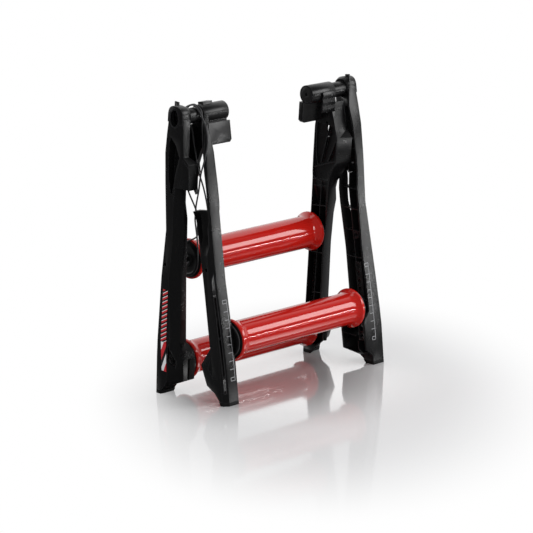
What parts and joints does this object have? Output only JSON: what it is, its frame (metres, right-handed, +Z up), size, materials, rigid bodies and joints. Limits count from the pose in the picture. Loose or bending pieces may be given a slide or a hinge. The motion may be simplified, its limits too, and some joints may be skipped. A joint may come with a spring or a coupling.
{
  "type": "bike_rollers",
  "caption": "Folding bike training rollers, folded and standing on end: red parabolic rollers in ribbed black plastic legs, with a slack drive belt.",
  "frame": {"origin": "On the floor at the middle of the bounding box: midway between the left and right sides and between the front and back rollers' outermost rims.", "axes": "+Z up, the long way of the folded stand; X along the rollers, left is -X; +Y towards the rear half, and Y is the short way."},
  "size_m": [0.5916, 0.268, 0.7296],
  "materials": {
    "leg_plastic": "satin black glass-filled plastic, fine moulded texture",
    "roller_plastic": "glossy red moulded plastic",
    "cap_plastic": "black moulded plastic",
    "rubber": "matte black rubber",
    "steel": "turned and zinc plated steel",
    "belt_urethane": "dark round urethane belt",
    "trim_red": "plain red vinyl panel",
    "trim_light": "plain white vinyl panel"
  },
  "bodies": {
    "rear_frame": {"drive_belt": "belt_urethane", "lower_rear_roller_axle": "steel", "lower_rear_roller_left_axle_end": "cap_plastic", "lower_rear_roller_right_axle_end": "cap_plastic", "rear_left_end_pad": "rubber", "rear_left_foot_cap": "rubber", "rear_left_leg": "leg_plastic", "rear_left_trim_light": "trim_light", "rear_left_trim_red": "trim_red", "rear_right_end_pad": "rubber", "rear_right_foot_cap": "rubber", "rear_right_leg": "leg_plastic", "right_barrel_plug": "cap_plastic", "right_hinge_collar": "leg_plastic", "right_hinge_pin": "steel", "right_ridge_plate": "leg_plastic", "upper_rear_roller_axle": "steel", "upper_rear_roller_left_axle_end": "cap_plastic", "upper_rear_roller_right_axle_end": "cap_plastic"},
    "front_frame": {"front_left_end_pad": "rubber", "front_left_foot_cap": "rubber", "front_left_leg": "leg_plastic", "front_right_end_pad": "rubber", "front_right_foot_cap": "rubber", "front_right_leg": "leg_plastic", "front_right_trim_light": "trim_light", "front_right_trim_red": "trim_red", "front_roller_axle": "steel", "front_roller_left_axle_end": "cap_plastic", "front_roller_right_axle_end": "cap_plastic", "left_barrel_plug": "cap_plastic", "left_hinge_collar": "leg_plastic", "left_hinge_pin": "steel", "left_ridge_plate": "leg_plastic"},
    "upper_rear_roller": {"upper_rear_roller_left_bearing": "steel", "upper_rear_roller_left_cap": "cap_plastic", "upper_rear_roller_right_bearing": "steel", "upper_rear_roller_right_cap": "cap_plastic", "upper_rear_roller_tube": "roller_plastic"},
    "lower_rear_roller": {"lower_rear_roller_left_bearing": "steel", "lower_rear_roller_left_cap": "cap_plastic", "lower_rear_roller_right_bearing": "steel", "lower_rear_roller_right_cap": "cap_plastic", "lower_rear_roller_tube": "roller_plastic"},
    "front_roller": {"front_roller_left_bearing": "steel", "front_roller_left_cap": "cap_plastic", "front_roller_right_bearing": "steel", "front_roller_right_cap": "cap_plastic", "front_roller_tube": "roller_plastic"}
  },
  "joints": [
    {"name": "fold", "type": "hinge", "parent": "rear_frame", "child": "front_frame", "pos_m": [0, -0.00421, 0.69247], "axis": [-1, 0, 0], "range_deg": [0, 165.5], "deforming": ["drive_belt"]},
    {"name": "upper_rear_spin", "type": "hinge", "parent": "rear_frame", "child": "upper_rear_roller", "pos_m": [0, 0.05705, 0.32829], "axis": [1, 0, 0], "continuous": true},
    {"name": "lower_rear_spin", "type": "hinge", "parent": "rear_frame", "child": "lower_rear_roller", "pos_m": [0, 0.08424, 0.07133], "axis": [1, 0, 0], "continuous": true},
    {"name": "front_spin", "type": "hinge", "parent": "front_frame", "child": "front_roller", "pos_m": [0, -0.08424, 0.15088], "axis": [1, 0, 0], "continuous": true}
  ],
  "couplings": [
    {"joint": "front_spin", "follows": "upper_rear_spin", "ratio": 1}
  ]
}
